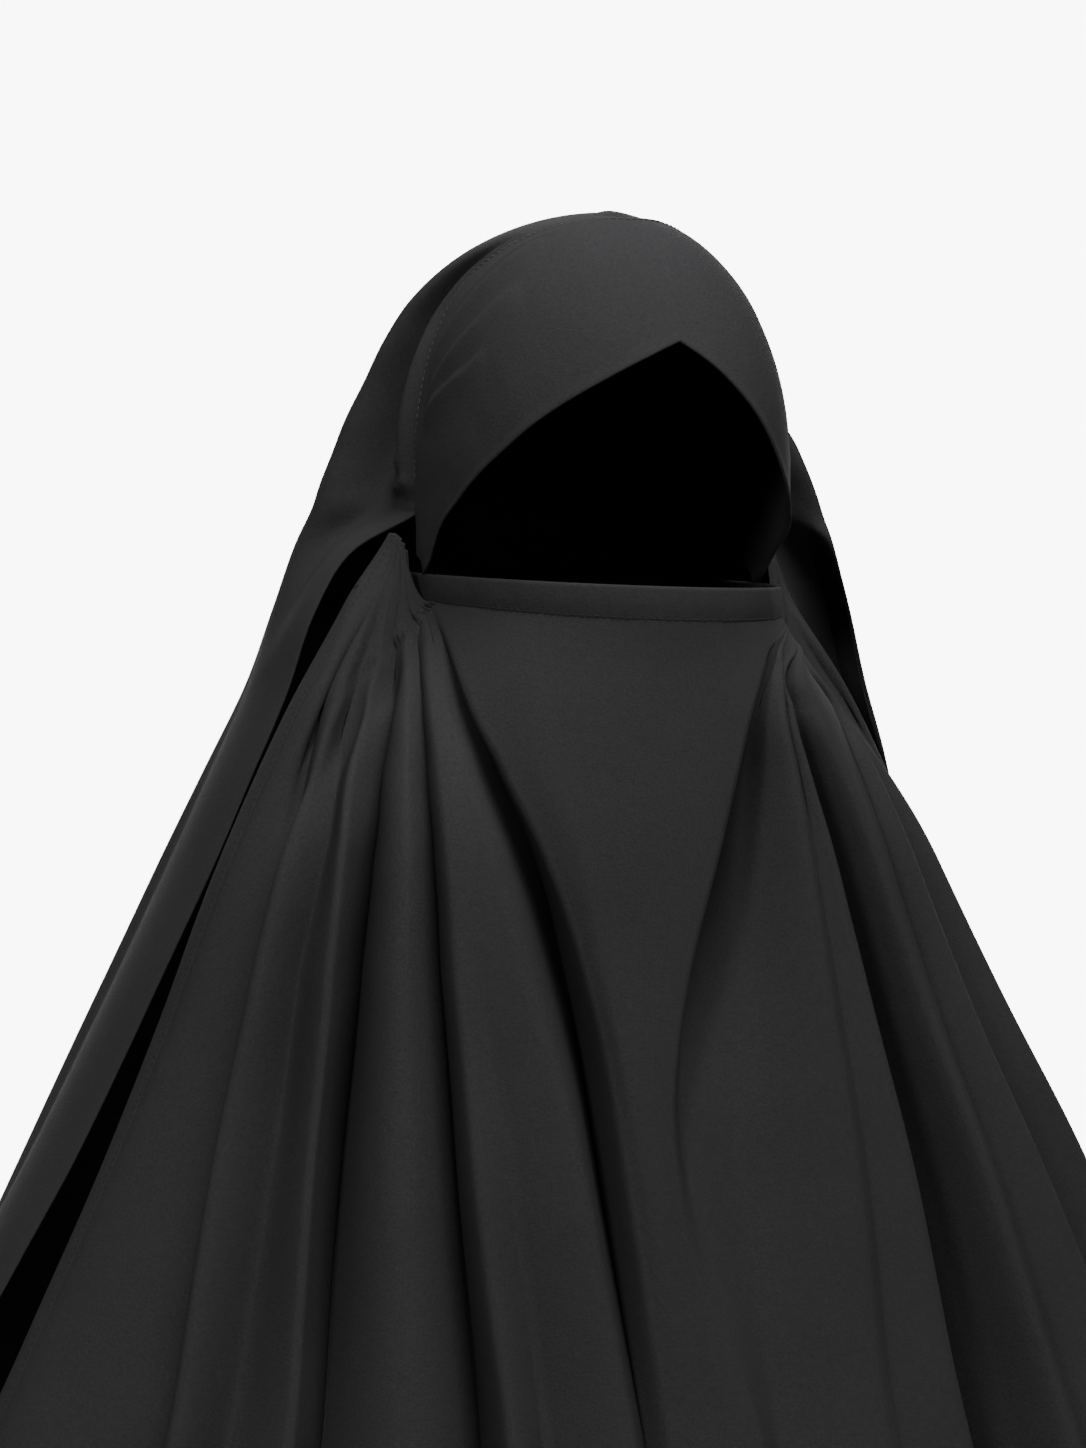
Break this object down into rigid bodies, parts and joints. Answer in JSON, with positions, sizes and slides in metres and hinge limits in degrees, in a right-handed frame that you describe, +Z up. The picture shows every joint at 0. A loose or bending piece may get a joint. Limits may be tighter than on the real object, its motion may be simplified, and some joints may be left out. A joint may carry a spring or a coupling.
{
  "type": "khimar veil with a tie-back face panel",
  "caption": "Long draped khimar veil with a brow band, an open eye slot and a front panel gathered at the ears under a stitched nose casing.",
  "frame": {"origin": "the point inside the crown where the veil rests on the top of the head", "axes": "+Z up, -Y the way the wearer looks, +X the wearer's left"},
  "size_m": [0.7605, 0.4458, 0.8816],
  "materials": {
    "veil_cloth": "matte charcoal crepe",
    "band_cloth": "matte charcoal crepe, stretched smooth",
    "casing_cloth": "matte charcoal crepe, doubled and stitched",
    "panel_cloth": "matte charcoal crepe, pleated",
    "hem_cloth": "matte charcoal crepe, turned hem",
    "tie_cloth": "matte charcoal crepe strap"
  },
  "bodies": {
    "root": {"veil": "veil_cloth", "brow_band": "band_cloth", "nose_casing": "casing_cloth", "front_panel": "panel_cloth", "panel_hem_right": "hem_cloth", "panel_hem_left": "hem_cloth", "head_tie": "tie_cloth"}
  },
  "joints": []
}
